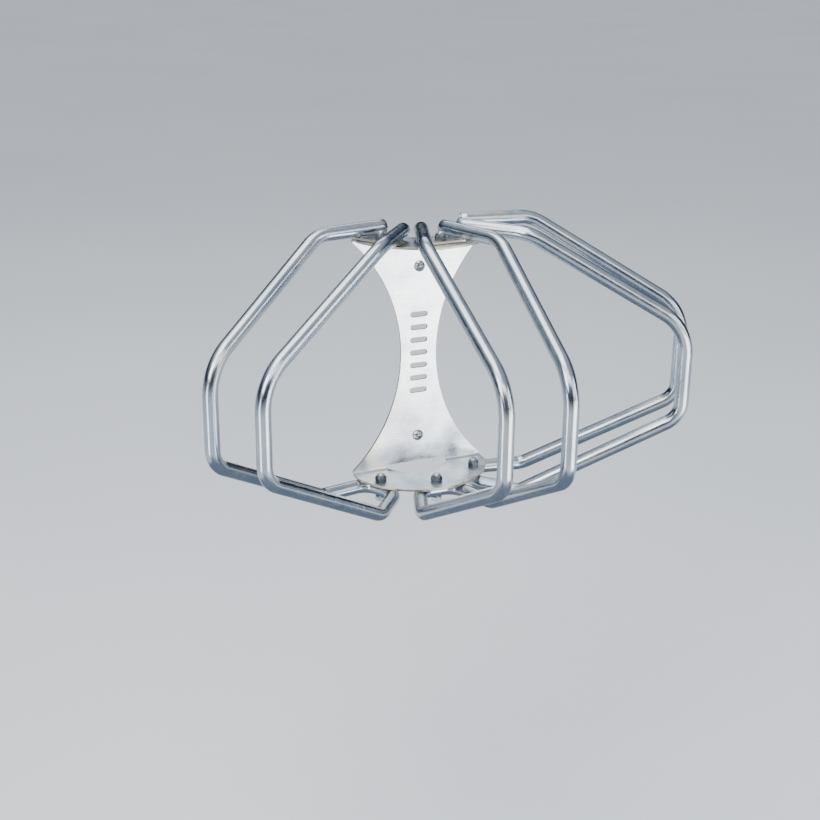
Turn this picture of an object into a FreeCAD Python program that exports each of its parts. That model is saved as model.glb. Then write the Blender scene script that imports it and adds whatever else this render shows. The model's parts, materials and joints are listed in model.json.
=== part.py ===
import FreeCAD, Part
import Sketcher
import math
import os

# Bicycle wall rack: one bent sheet bracket on the wall and three bent-tube hoops, each holding
# the front wheel of a bicycle. Each hoop swivels about a vertical pair of M8 bolts.
#
# Frame: the origin is the middle of the bracket on the wall plane, +X runs right along the wall,
# +Y into the wall and +Z up, so the hoops reach out along -Y. All lengths are millimetres.
# Hoop frame: the pivot axis is the Z axis and the hoop reaches out along -Y.

DIMENSIONS = (
    ("half_height", 158, "middle of the bracket to the outer face of a flange"),
    ("sheet_thickness", 3, "bracket sheet"),
    ("bend_radius", 3, "inside radius of the two bends"),
    ("half_width", 91, "half width of the bracket at its bends"),
    ("waist_half_width", 24.5, "half width of the back plate at its waist"),
    ("flange_depth", 88, "wall to the front of a flange"),
    ("flange_radius", 95, "front arc of a flange"),
    ("opening_half_width", 42, "half width of the opening at each bend"),
    ("opening_depth", 31, "wall to the front of that opening"),
    ("opening_rise", 8, "outer face of the flange to the straight edge of the opening"),
    ("screw_spacing", 228, "between the two wall screws"),
    ("screw_hole", 9, "hole for a wall screw"),
    ("slot_count", 7, "round-ended slots down the back plate"),
    ("slot_pitch", 17, "from one slot to the next"),
    ("slot_length", 24, "overall length of a slot"),
    ("slot_height", 7, "width of a slot"),
    ("side_pivot_x", 66, "wall centre line to a side pivot"),
    ("side_pivot_depth", 36, "wall to a side pivot"),
    ("centre_pivot_depth", 64, "wall to the centre pivot"),
    ("fan_angle", 60, "side hoops turned out from the centre hoop, degrees"),
    ("tube_diameter", 18, "hoop tube, outside"),
    ("tube_wall", 1.5, "hoop tube wall"),
    ("cross_half_width", 24, "half the cross-piece, to its corner"),
    ("inner_reach", 62, "pivot to the inner bends"),
    ("inner_half_width", 47.5, "centre plane to the tube at the inner bends"),
    ("front_reach", 260, "pivot to the upright front tubes"),
    ("front_half_width", 39.5, "centre plane to the upright front tubes"),
    ("front_half_height", 58, "half the upright, between its bends' corners"),
    ("end_overhang", 25, "open tube ends behind the pivot"),
    ("cross_bend", 23, "centre-line radius where the cross-piece turns"),
    ("lower_inner_bend", 26, "centre-line radius, lower inner bends"),
    ("lower_front_bend", 32, "centre-line radius, lower front bends"),
    ("upper_front_bend", 60, "centre-line radius, upper front bends"),
    ("upper_inner_bend", 45, "centre-line radius, upper inner bends"),
    ("yoke_thickness", 3, "plate welded under the two open tube ends"),
    ("yoke_length", 60, "yoke, across the hoop"),
    ("yoke_width", 24, "yoke, along the hoop"),
    ("yoke_corner", 3, "rounded corners of the yoke"),
    ("running_gap", 0.4, "play between a hoop and a flange"),
    ("bolt_diameter", 8, "M8 pivot bolts"),
    ("bolt_clearance", 0.05, "radial play of the pivot bolts"),
    ("hex_width", 13, "M8 hexagon across flats"),
    ("head_height", 5.3, "M8 hexagon head"),
    ("nut_height", 8, "M8 self-locking nut, overall"),
    ("nut_hex_height", 5.9, "hexagon of the nut"),
    ("nut_collar_diameter", 11.8, "round collar of the nut"),
    ("insert_diameter", 10.4, "nylon ring held in the collar"),
    ("insert_height", 1.6, "nylon ring"),
    ("bolt_end", 2.4, "bolt end standing out of the nut"),
    ("wall_screw_diameter", 7.5, "threaded part of a wall screw"),
    ("wall_screw_neck", 6.8, "plain neck of a wall screw, inside the bracket"),
    ("wall_screw_point", 8, "tapered point of a wall screw"),
    ("wall_screw_length", 50, "wall screw under its head"),
    ("screw_head_diameter", 14.5, "domed head of a wall screw"),
    ("screw_head_height", 5.2, "domed head of a wall screw"),
    ("recess_span", 7.4, "cross recess, tip to tip"),
    ("recess_slot", 1.5, "cross recess, width of an arm"),
    ("recess_depth", 3, "cross recess"),
    ("recess_turn", 12, "cross recess, turned from upright, degrees"),
)

THROUGH = 400  # longer than the bracket, for cuts that go right through it

doc = FreeCAD.newDocument("bicycle_wall_rack")
sheet = doc.addObject("Spreadsheet::Sheet", "Dims")
for row, (alias, number, note) in enumerate(DIMENSIONS, start=1):
    sheet.set(f"A{row}", note)
    sheet.set(f"B{row}", str(number))
    sheet.setAlias(f"B{row}", alias)
doc.recompute()

nodes = []


def dim(alias):
    """One driving dimension as a plain number."""
    return float(getattr(sheet, alias))


def value(expression):
    """The number that an expression on the sheet gives."""
    result = sheet.evalExpression(expression)
    return float(getattr(result, "Value", result))


def node(obj, label):
    """Name a finished sub-part, so that it is checked and written."""
    obj.Label = label
    nodes.append(obj)
    return obj


def bind(obj, **expressions):
    """Bind properties of an object to expressions on the sheet."""
    for prop, expression in expressions.items():
        obj.setExpression(prop, expression)
    return obj


def place(obj, x="0", y="0", z="0"):
    """Bind the position of an object to three expressions."""
    obj.setExpression("Placement.Base.x", x)
    obj.setExpression("Placement.Base.y", y)
    obj.setExpression("Placement.Base.z", z)
    return obj


# ---------------------------------------------------------------- sketches

def origin_plane(body, role):
    """One of a body's own origin planes."""
    return next(item for item in body.Origin.OriginFeatures if item.Role == role)


def new_sketch(body, name, role):
    """An empty sketch on one of the body's own origin planes."""
    sketch = body.newObject("Sketcher::SketchObject", name)
    sketch.AttachmentSupport = (origin_plane(body, role), [""])
    sketch.MapMode = "FlatFace"
    return sketch


def point(pair):
    """A sketch point from a pair of expressions."""
    return FreeCAD.Vector(value(pair[0]), value(pair[1]), 0)


def drive(sketch, geometry, end, pair):
    """Hold one point of the sketch at a pair of expressions."""
    for kind, axis, expression in (("DistanceX", -2, pair[0]), ("DistanceY", -1, pair[1])):
        number = value(expression)
        if abs(number) < 1e-9:
            sketch.addConstraint(Sketcher.Constraint("PointOnObject", geometry, end, axis))
        else:
            index = sketch.addConstraint(Sketcher.Constraint(kind, geometry, end, number))
            sketch.setExpression(f"Constraints[{index}]", expression)


def outline(sketch, edges):
    """A closed outline of (start, end) lines and (start, end, point on the arc, radius) arcs.

    An arc whose radius is None is tangent to the edge before it instead.
    """
    ends = []
    for edge in edges:
        start, finish = point(edge[0]), point(edge[1])
        if len(edge) == 2:
            geometry = sketch.addGeometry(Part.LineSegment(start, finish))
            ends.append((geometry, 1, 2))
        else:
            geometry = sketch.addGeometry(Part.Arc(start, point(edge[2]), finish))
            forward = sketch.getPoint(geometry, 1).distanceToPoint(start) < 1e-6
            ends.append((geometry, 1, 2) if forward else (geometry, 2, 1))
    for index, (geometry, start_end, _) in enumerate(ends):
        earlier, _, earlier_end = ends[index - 1]
        tangent = len(edges[index]) == 4 and edges[index][3] is None
        kind = "Tangent" if tangent else "Coincident"
        sketch.addConstraint(Sketcher.Constraint(kind, earlier, earlier_end, geometry, start_end))
    for (geometry, start_end, _), edge in zip(ends, edges):
        drive(sketch, geometry, start_end, edge[0])
        if len(edge) == 4 and edge[3] is not None:
            index = sketch.addConstraint(Sketcher.Constraint("Radius", geometry, value(edge[3])))
            sketch.setExpression(f"Constraints[{index}]", edge[3])


def circle(sketch, centre, radius):
    """A circle whose centre and radius are bound to expressions."""
    shape = Part.Circle(point(centre), FreeCAD.Vector(0, 0, 1), value(radius))
    geometry = sketch.addGeometry(shape)
    drive(sketch, geometry, 3, centre)
    index = sketch.addConstraint(Sketcher.Constraint("Radius", geometry, value(radius)))
    sketch.setExpression(f"Constraints[{index}]", radius)


def mirror_x(pair):
    """The same sketch point on the other side of the vertical axis."""
    return (f"-({pair[0]})", pair[1])


def cut_through(body, sketch, name, length=str(THROUGH)):
    """A pocket to both sides of its sketch, checked to take material away."""
    doc.recompute()
    before = body.Shape.Volume
    pocket = body.newObject("PartDesign::Pocket", name)
    pocket.Profile = sketch
    pocket.Midplane = True
    pocket.setExpression("Length", length)
    doc.recompute()
    print(name, "takes", round(before - body.Shape.Volume), "mm3")
    return pocket


# ---------------------------------------------------------------- bracket

def wall_bracket():
    """Waisted back plate with a flange bent out at each end, from one sheet."""
    body = doc.addObject("PartDesign::Body", "wall_bracket")
    high = "Dims.half_height"
    thick = "Dims.sheet_thickness"
    turn = "(Dims.bend_radius + Dims.sheet_thickness)"
    front = "-Dims.flange_depth"
    middle_outer = f"{turn} * (1 - sqrt(0.5))"
    middle_inner = f"({thick} + Dims.bend_radius * (1 - sqrt(0.5)))"

    def flange_side(sign):
        """Points of the section at one flange, from the front edge to the back plate."""
        return {
            "front_outer": (front, f"{sign}({high})"),
            "outer_flat": (f"-{turn}", f"{sign}({high})"),
            "outer_mid": (f"-{middle_outer}", f"{sign}({high} - {middle_outer})"),
            "outer_plate": ("0", f"{sign}({high} - {turn})"),
            "inner_plate": (f"-{thick}", f"{sign}({high} - {turn})"),
            "inner_mid": (f"-{middle_inner}", f"{sign}({high} - {middle_inner})"),
            "inner_flat": (f"-{turn}", f"{sign}({high} - {thick})"),
            "front_inner": (front, f"{sign}({high} - {thick})"),
        }

    top, low = flange_side("1 * "), flange_side("-1 * ")
    section = new_sketch(body, "bracket_section", "YZ_Plane")
    outline(section, [
        (top["front_outer"], top["outer_flat"]),
        (top["outer_flat"], top["outer_plate"], top["outer_mid"], turn),
        (top["outer_plate"], low["outer_plate"]),
        (low["outer_plate"], low["outer_flat"], low["outer_mid"], turn),
        (low["outer_flat"], low["front_outer"]),
        (low["front_outer"], low["front_inner"]),
        (low["front_inner"], low["inner_flat"]),
        (low["inner_flat"], low["inner_plate"], low["inner_mid"], "Dims.bend_radius"),
        (low["inner_plate"], top["inner_plate"]),
        (top["inner_plate"], top["inner_flat"], top["inner_mid"], "Dims.bend_radius"),
        (top["inner_flat"], top["front_inner"]),
        (top["front_inner"], top["front_outer"]),
    ])
    pad = body.newObject("PartDesign::Pad", "bent_sheet")
    pad.Profile = section
    pad.Midplane = True
    pad.setExpression("Length", "2 * Dims.half_width")

    # each side of the back plate is one arc from bend to bend through the waist
    reach = f"({high} - {turn})"
    rise = "(Dims.half_width - Dims.waist_half_width)"
    waist_radius = f"({reach}^2 + {rise}^2) / (2 * {rise})"
    outside = "(Dims.half_width + 5)"
    for side, flip in (("right", lambda pair: pair), ("left", mirror_x)):
        waist = new_sketch(body, f"waist_{side}", "XZ_Plane")
        upper = flip(("Dims.half_width", reach))
        lower = flip(("Dims.half_width", f"-{reach}"))
        upper_out = flip((outside, reach))
        lower_out = flip((outside, f"-{reach}"))
        middle = flip(("Dims.waist_half_width", "0"))
        outline(waist, [
            (upper, lower, middle, waist_radius),
            (lower, lower_out),
            (lower_out, upper_out),
            (upper_out, upper),
        ])
        cut_through(body, waist, f"waist_cut_{side}", "30")

    # the front of both flanges is one arc
    arc_side = ("-(Dims.flange_depth - Dims.flange_radius"
                " + sqrt(Dims.flange_radius^2 - Dims.half_width^2))")
    beyond = "-(Dims.flange_depth + 5)"
    front_arc = new_sketch(body, "flange_front", "XY_Plane")
    outline(front_arc, [
        (("-Dims.half_width", arc_side), ("Dims.half_width", arc_side), ("0", front),
         "Dims.flange_radius"),
        (("Dims.half_width", arc_side), (outside, arc_side)),
        ((outside, arc_side), (outside, beyond)),
        ((outside, beyond), (f"-{outside}", beyond)),
        ((f"-{outside}", beyond), (f"-{outside}", arc_side)),
        ((f"-{outside}", arc_side), ("-Dims.half_width", arc_side)),
    ])
    cut_through(body, front_arc, "flange_front_cut")

    # an opening at each bend: its curved edge in the flange, its straight edge in the plate
    opening_side = "-4"
    half = "Dims.opening_half_width"
    sagitta = "(Dims.opening_depth - 4)"
    opening = new_sketch(body, "bend_opening", "XY_Plane")
    outline(opening, [
        ((f"-{half}", opening_side), (half, opening_side), ("0", "-Dims.opening_depth"),
         f"({half}^2 + {sagitta}^2) / (2 * {sagitta})"),
        ((half, opening_side), (half, "5")),
        ((half, "5"), (f"-{half}", "5")),
        ((f"-{half}", "5"), (f"-{half}", opening_side)),
    ])
    opening.setExpression("AttachmentOffset.Base.z", high)
    pocket = cut_through(body, opening, "bend_opening_cut", "2 * Dims.opening_rise")
    mirrored = body.newObject("PartDesign::Mirrored", "bend_opening_below")
    mirrored.Originals = [pocket]
    mirrored.MirrorPlane = (origin_plane(body, "XY_Plane"), [""])
    body.Tip = mirrored

    pivots = new_sketch(body, "pivot_holes", "XY_Plane")
    hole = "Dims.bolt_diameter / 2 + Dims.bolt_clearance"
    for x, depth in PIVOTS.values():
        circle(pivots, (x, f"-{depth}"), hole)
    cut_through(body, pivots, "pivot_hole_cut")

    wall_holes = new_sketch(body, "wall_screw_holes", "XZ_Plane")
    for sign in ("", "-"):
        circle(wall_holes, ("0", f"{sign}Dims.screw_spacing / 2"), "Dims.screw_hole / 2")
    cut_through(body, wall_holes, "wall_screw_hole_cut", "30")

    # a column of plain round-ended slots down the waist
    slot = new_sketch(body, "waist_slot", "XZ_Plane")
    straight = "(Dims.slot_length - Dims.slot_height) / 2"
    tip = "Dims.slot_length / 2"
    base = "-(Dims.slot_count - 1) / 2 * Dims.slot_pitch"
    upper = f"{base} + Dims.slot_height / 2"
    lower = f"{base} - Dims.slot_height / 2"
    outline(slot, [
        ((f"-{straight}", lower), (straight, lower)),
        ((straight, lower), (straight, upper), (tip, base), None),
        ((straight, upper), (f"-{straight}", upper)),
        ((f"-{straight}", upper), (f"-{straight}", lower), (f"-{tip}", base), None),
    ])
    slot_cut = cut_through(body, slot, "waist_slot_cut", "30")
    column = body.newObject("PartDesign::LinearPattern", "waist_slot_column")
    column.Originals = [slot_cut]
    column.Direction = (slot, ["V_Axis"])
    column.setExpression("Length", "(Dims.slot_count - 1) * Dims.slot_pitch")
    column.setExpression("Occurrences", "Dims.slot_count")
    body.Tip = column
    return node(body, "wall_bracket")


# ---------------------------------------------------------------- hoops

# pivot of each hoop: X along the wall, and depth out from the wall
PIVOTS = {
    "left": ("-Dims.side_pivot_x", "Dims.side_pivot_depth"),
    "centre": ("0", "Dims.centre_pivot_depth"),
    "right": ("Dims.side_pivot_x", "Dims.side_pivot_depth"),
}


def rounded_path(corners, radii):
    """Straight runs joined by tangent arcs: one radius for each corner between the two ends."""
    edges = []
    start = corners[0]
    for before, corner, after, radius in zip(corners, corners[1:], corners[2:], radii):
        back = (before - corner).normalize()
        ahead = (after - corner).normalize()
        turn = math.pi - back.getAngle(ahead)
        reach = radius * math.tan(turn / 2)
        bisector = (back + ahead).normalize()
        middle = corner + bisector * (radius / math.cos(turn / 2) - radius)
        arc_start = corner + back * reach
        arc_end = corner + ahead * reach
        edges.append(Part.LineSegment(start, arc_start).toShape())
        edges.append(Part.Arc(arc_start, middle, arc_end).toShape())
        start = arc_end
    edges.append(Part.LineSegment(start, corners[-1]).toShape())
    return Part.Wire(edges)


def hoop_path():
    """Centre line of a hoop in its own frame: up one side, under the flange and up the other."""
    tube = dim("tube_diameter") / 2
    top = dim("half_height") + dim("running_gap") + dim("yoke_thickness") + tube
    low = -(dim("half_height") + dim("running_gap") + tube)
    spread = (dim("inner_half_width") - dim("cross_half_width")) / dim("inner_reach")
    end_half_width = dim("cross_half_width") - spread * dim("end_overhang")
    side = [
        FreeCAD.Vector(end_half_width, dim("end_overhang"), top),
        FreeCAD.Vector(dim("inner_half_width"), -dim("inner_reach"), top),
        FreeCAD.Vector(dim("front_half_width"), -dim("front_reach"), dim("front_half_height")),
        FreeCAD.Vector(dim("front_half_width"), -dim("front_reach"), -dim("front_half_height")),
        FreeCAD.Vector(dim("inner_half_width"), -dim("inner_reach"), low),
        FreeCAD.Vector(dim("cross_half_width"), 0, low),
    ]
    other = [FreeCAD.Vector(-corner.x, corner.y, corner.z) for corner in reversed(side)]
    bends = [dim(name) for name in ("upper_inner_bend", "upper_front_bend", "lower_front_bend",
                                    "lower_inner_bend", "cross_bend")]
    return rounded_path(side + other, bends + bends[::-1])


def swept(name, path, start, direction, radius):
    """A round bar along the path, its radius bound to an expression."""
    section = doc.addObject("Part::Circle", f"{name}_section")
    section.setExpression("Radius", radius)
    turn = FreeCAD.Rotation(FreeCAD.Vector(0, 0, 1), direction)
    section.Placement = FreeCAD.Placement(start, turn)
    sweep = doc.addObject("Part::Sweep", name)
    sweep.Sections = [section]
    sweep.Spine = (path, [f"Edge{index + 1}" for index in range(len(path.Shape.Edges))])
    sweep.Solid = True
    sweep.Frenet = False
    return sweep


def hoop(side):
    """One hoop: a single bent tube, open at its two upper ends, bored for its lower bolt."""
    wire = hoop_path()
    path = doc.addObject("Part::Feature", f"hoop_path_{side}")
    path.Shape = wire
    first = wire.Edges[0]
    start = first.valueAt(first.FirstParameter)
    direction = first.tangentAt(first.FirstParameter)
    outer = swept(f"tube_outside_{side}", path, start, direction, "Dims.tube_diameter / 2")
    bore = swept(f"tube_bore_{side}", path, start, direction,
                 "Dims.tube_diameter / 2 - Dims.tube_wall")
    tube = doc.addObject("Part::Cut", f"tube_{side}")
    tube.Base = outer
    tube.Tool = bore
    drill = doc.addObject("Part::Cylinder", f"tube_drill_{side}")
    bind(drill, Radius="Dims.bolt_diameter / 2 + Dims.bolt_clearance",
         Height="2 * Dims.tube_diameter")
    place(drill, z="-(Dims.half_height + 2 * Dims.tube_diameter)")
    drilled = doc.addObject("Part::Cut", f"hoop_{side}")
    drilled.Base = tube
    drilled.Tool = drill
    turned(drilled, side)
    doc.recompute()
    wall = math.pi * (dim("tube_diameter") - dim("tube_wall")) * dim("tube_wall")
    print(f"hoop_{side}: volume", round(drilled.Shape.Volume), "section times length",
          round(wall * wire.Length), "length", round(wire.Length))
    return node(drilled, f"hoop_{side}")


def turned(obj, side, z="0"):
    """Carry a piece from the hoop frame to its pivot and turn it to its fan angle."""
    x, depth = PIVOTS[side]
    if side != "centre":
        axis = FreeCAD.Vector(0, 0, 1 if side == "right" else -1)
        obj.Placement = FreeCAD.Placement(FreeCAD.Vector(), FreeCAD.Rotation(axis, dim("fan_angle")))
        obj.setExpression("Placement.Rotation.Angle", "Dims.fan_angle * 1 deg")
    place(obj, x, f"-{depth}", z)
    return obj


def yoke(side):
    """Flat plate under the two open tube ends, welded to both and turning on the upper bolt."""
    body = doc.addObject("PartDesign::Body", f"top_yoke_{side}")
    sketch = new_sketch(body, f"yoke_outline_{side}", "XY_Plane")
    long, wide = "Dims.yoke_length / 2", "Dims.yoke_width / 2"
    corners = [(f"-{long}", f"-{wide}"), (long, f"-{wide}"), (long, wide), (f"-{long}", wide)]
    outline(sketch, list(zip(corners, corners[1:] + corners[:1])))
    circle(sketch, ("0", "0"), "Dims.bolt_diameter / 2 + Dims.bolt_clearance")
    pad = body.newObject("PartDesign::Pad", f"yoke_plate_{side}")
    pad.Profile = sketch
    pad.setExpression("Length", "Dims.yoke_thickness")
    doc.recompute()
    upright = [f"Edge{number}" for number, edge in enumerate(pad.Shape.Edges, start=1)
               if len(edge.Vertexes) == 2 and abs(edge.tangentAt(edge.FirstParameter).z) > 0.99
               and edge.CenterOfMass.Length > dim("yoke_width") / 2]
    fillet = body.newObject("PartDesign::Fillet", f"yoke_corners_{side}")
    fillet.Base = (pad, upright)
    fillet.setExpression("Radius", "Dims.yoke_corner")
    turned(body, side, "Dims.half_height + Dims.running_gap")
    return node(body, f"top_yoke_{side}")


# ---------------------------------------------------------------- fasteners

def bored(name, solid, radius, height):
    """The same solid with a round hole along its axis."""
    drill = doc.addObject("Part::Cylinder", f"{name}_bore")
    bind(drill, Radius=radius, Height=height)
    cut = doc.addObject("Part::Cut", name)
    cut.Base = solid
    cut.Tool = drill
    return cut


def chamfered_hexagon(name, height):
    """Hexagon bar with its corners turned off at both ends."""
    prism = doc.addObject("Part::Prism", f"{name}_prism")
    prism.Polygon = 6
    bind(prism, Circumradius="Dims.hex_width / sqrt(3)", Height=height)
    drum = doc.addObject("Part::Cylinder", f"{name}_drum")
    bind(drum, Radius="Dims.hex_width / sqrt(3)", Height=height)
    doc.recompute()
    chamfer = doc.addObject("Part::Chamfer", f"{name}_turned")
    chamfer.Base = drum
    rims = [number for number, edge in enumerate(drum.Shape.Edges, start=1) if edge.Closed]
    chamfer.Edges = [(number, 0.5, 1.0) for number in rims]
    common = doc.addObject("Part::MultiCommon", name)
    common.Shapes = [prism, chamfer]
    return common


def hex_bolt(name, length):
    """Hexagon bolt standing on its head, with the head's bearing face at z = 0."""
    head = chamfered_hexagon(f"{name}_head", "Dims.head_height")
    place(head, z="-Dims.head_height")
    shank = doc.addObject("Part::Cylinder", f"{name}_rod")
    bind(shank, Radius="Dims.bolt_diameter / 2", Height=length)
    doc.recompute()
    pointed = doc.addObject("Part::Chamfer", f"{name}_shank")
    pointed.Base = shank
    tip = max((edge.CenterOfMass.z, number) for number, edge in enumerate(shank.Shape.Edges, start=1)
              if edge.Closed)[1]
    pointed.Edges = [(tip, 1.0, 1.0)]
    bolt = doc.addObject("Part::Fuse", name)
    bolt.Base = head
    bolt.Tool = pointed
    return bolt


def lock_nut(name):
    """Self-locking nut: a hexagon with a round collar that holds a nylon ring."""
    hexagon = chamfered_hexagon(f"{name}_hexagon", "Dims.nut_hex_height")
    collar = doc.addObject("Part::Cylinder", f"{name}_drum")
    bind(collar, Radius="Dims.nut_collar_diameter / 2", Height="Dims.nut_height")
    doc.recompute()
    domed = doc.addObject("Part::Fillet", f"{name}_collar")
    domed.Base = collar
    rim = max((edge.CenterOfMass.z, number) for number, edge in enumerate(collar.Shape.Edges, start=1)
              if edge.Closed)[1]
    domed.Edges = [(rim, 1.0, 1.0)]
    blank = doc.addObject("Part::Fuse", f"{name}_blank")
    blank.Base = hexagon
    blank.Tool = domed
    threaded = bored(f"{name}_threaded", blank, "Dims.bolt_diameter / 2 + Dims.bolt_clearance",
                     "2 * Dims.nut_height")
    seat = doc.addObject("Part::Cylinder", f"{name}_seat")
    bind(seat, Radius="Dims.insert_diameter / 2", Height="Dims.insert_height")
    place(seat, z="Dims.nut_height - Dims.insert_height - 0.2")
    nut = doc.addObject("Part::Cut", name)
    nut.Base = threaded
    nut.Tool = seat
    return nut


def nylon_ring(name):
    """The ring in a self-locking nut, below the collar's rolled lip."""
    ring = doc.addObject("Part::Cylinder", f"{name}_disc")
    bind(ring, Radius="Dims.insert_diameter / 2", Height="Dims.insert_height")
    return bored(name, ring, "Dims.bolt_diameter / 2 + Dims.bolt_clearance", "Dims.insert_height")


def at_each_pivot(label, make, z):
    """One fastener of the same kind at each of the three pivots, as one node."""
    copies = []
    for side, (x, depth) in PIVOTS.items():
        copies.append(place(make(f"{label}_{side}"), x, f"-{depth}", z))
    group = doc.addObject("Part::Compound", label)
    group.Links = copies
    return node(group, label)


def wall_screw(name):
    """Domed cross-recess screw: the bearing face of its head is at y = 0, its point along +Y."""
    radius = dim("screw_head_diameter") / 2
    height = dim("screw_head_height")
    rim = 1.2
    crown = height - rim
    dome_radius = (radius ** 2 + crown ** 2) / (2 * crown)
    half_angle = math.asin(radius / dome_radius) / 2
    dome_middle = (dome_radius * math.sin(half_angle),
                   dome_radius * (1 - math.cos(half_angle)) - height)
    neck = dim("wall_screw_neck") / 2
    thread = dim("wall_screw_diameter") / 2
    length = dim("wall_screw_length")
    sheet_back = dim("sheet_thickness")
    corners = [(0, -height), (0, length), (thread, length - dim("wall_screw_point")),
               (thread, sheet_back), (neck, sheet_back), (neck, 0), (radius, 0), (radius, -rim)]
    points = [FreeCAD.Vector(x, y, 0) for x, y in corners]
    edges = [Part.LineSegment(a, b).toShape() for a, b in zip(points, points[1:])]
    edges.append(Part.Arc(points[-1], FreeCAD.Vector(*dome_middle, 0), points[0]).toShape())
    blank = Part.Face(Part.Wire(edges)).revolve(FreeCAD.Vector(), FreeCAD.Vector(0, 1, 0), 360)
    span, arm, deep = dim("recess_span"), dim("recess_slot"), dim("recess_depth")
    across = Part.makeBox(span, deep, arm, FreeCAD.Vector(-span / 2, -height, -arm / 2))
    upright = Part.makeBox(arm, deep, span, FreeCAD.Vector(-arm / 2, -height, -span / 2))
    recess = across.fuse(upright)
    recess.rotate(FreeCAD.Vector(), FreeCAD.Vector(0, 1, 0), dim("recess_turn"))
    feature = doc.addObject("Part::Feature", name)
    feature.Shape = blank.cut(recess)
    return feature


def wall_screws():
    """The two screws that hold the bracket, as one node."""
    copies = []
    for level, sign in (("upper", ""), ("lower", "-")):
        screw = wall_screw(f"wall_screw_{level}")
        copies.append(place(screw, y="-Dims.sheet_thickness", z=f"{sign}Dims.screw_spacing / 2"))
    group = doc.addObject("Part::Compound", "wall_screws")
    group.Links = copies
    return node(group, "wall_screws")


# ---------------------------------------------------------------- assembly

wall_bracket()
for side in PIVOTS:
    hoop(side)
    yoke(side)

flange_inner = "(Dims.half_height - Dims.sheet_thickness)"
yoke_top = "(Dims.half_height + Dims.running_gap + Dims.yoke_thickness)"
tube_bottom = "(Dims.half_height + Dims.running_gap + Dims.tube_diameter)"
insert_rise = "(Dims.nut_height - Dims.insert_height - 0.2)"
upper_length = f"{yoke_top} + Dims.nut_height + Dims.bolt_end - {flange_inner}"
lower_length = f"{tube_bottom} - {flange_inner} + Dims.nut_height + Dims.bolt_end"

at_each_pivot("upper_pivot_bolts", lambda name: hex_bolt(name, upper_length), flange_inner)
at_each_pivot("upper_lock_nuts", lock_nut, yoke_top)
at_each_pivot("upper_nut_inserts", nylon_ring, f"{yoke_top} + {insert_rise}")
at_each_pivot("lower_pivot_bolts", lambda name: hex_bolt(name, lower_length), f"-{tube_bottom}")
at_each_pivot("lower_lock_nuts", lock_nut, f"-{flange_inner}")
at_each_pivot("lower_nut_inserts", nylon_ring, f"-{flange_inner} + {insert_rise}")
wall_screws()
doc.recompute()

# ---------------------------------------------------------------- checks and export

for obj in doc.Objects:
    bad = [state for state in obj.State if state in ("Invalid", "Error")]
    if bad:
        raise RuntimeError(f"{obj.Label} failed: {bad}")
for obj in nodes:
    if obj.Shape.isNull() or not obj.Shape.isValid():
        raise RuntimeError(f"{obj.Label} has no valid shape")

os.makedirs("parts", exist_ok=True)
for obj in nodes:
    obj.Shape.exportStep(f"parts/{obj.Label}.step")
    print(f"{obj.Label}: {len(obj.Shape.Solids)} solid(s), {obj.Shape.Volume / 1000:.1f} cm3,",
          "box", [round(getattr(obj.Shape.BoundBox, side)) for side in
                  ("XMin", "XMax", "YMin", "YMax", "ZMin", "ZMax")])
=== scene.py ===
# %% [markdown]
# # A bicycle wall rack in bright zinc
# The rack is a bent sheet bracket with three bent tube hoops fanned out from it. Each hoop takes
# the front wheel of a bicycle and swivels a little on two M8 bolts. The solids come packed from a
# CAD model, in metres, with X along the wall, Y into it and Z up. This file gives them the shape
# of edges, threads and welds, and the finish of electroplated steel.

# %% Load the frame
import json
import math

import bmesh
import bpy
import numpy as np
from mathutils import Matrix, Vector


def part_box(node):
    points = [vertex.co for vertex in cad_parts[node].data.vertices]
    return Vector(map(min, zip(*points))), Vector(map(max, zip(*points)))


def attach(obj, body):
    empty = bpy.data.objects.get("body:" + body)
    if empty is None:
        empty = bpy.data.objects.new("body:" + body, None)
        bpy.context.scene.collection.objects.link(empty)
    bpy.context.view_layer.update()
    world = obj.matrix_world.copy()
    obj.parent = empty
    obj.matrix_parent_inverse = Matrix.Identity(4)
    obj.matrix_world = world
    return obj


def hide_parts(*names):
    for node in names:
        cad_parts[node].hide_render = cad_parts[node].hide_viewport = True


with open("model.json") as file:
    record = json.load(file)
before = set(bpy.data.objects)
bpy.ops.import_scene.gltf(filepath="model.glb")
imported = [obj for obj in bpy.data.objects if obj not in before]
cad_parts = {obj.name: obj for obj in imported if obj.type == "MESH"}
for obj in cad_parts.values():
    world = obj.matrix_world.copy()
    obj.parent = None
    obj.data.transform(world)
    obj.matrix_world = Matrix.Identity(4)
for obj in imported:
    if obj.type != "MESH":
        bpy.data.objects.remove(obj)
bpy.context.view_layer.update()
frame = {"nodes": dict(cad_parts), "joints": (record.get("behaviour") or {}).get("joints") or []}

pivots = {joint["name"].split("_")[0]: np.array(joint["pos_m"]) for joint in frame["joints"]}
fan = {"left": math.radians(-60), "centre": 0.0, "right": math.radians(60)}
print("pivots", {side: pivot.round(4).tolist() for side, pivot in pivots.items()})

# %% [markdown]
# ## Helpers for surfaces
# A surface can be drawn by hand with bmesh calls, or worked out. Here nearly every piece is a
# grid: one parameter runs along it and the other around it, and numpy works out all its points at
# once. The faces are then only index arithmetic, and the same two helpers serve every piece. A
# third gives a piece its finish and its moving body, and hides the CAD nodes that it stands for.

# %% A grid's faces, and a mesh from arrays
MM = 0.001


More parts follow.
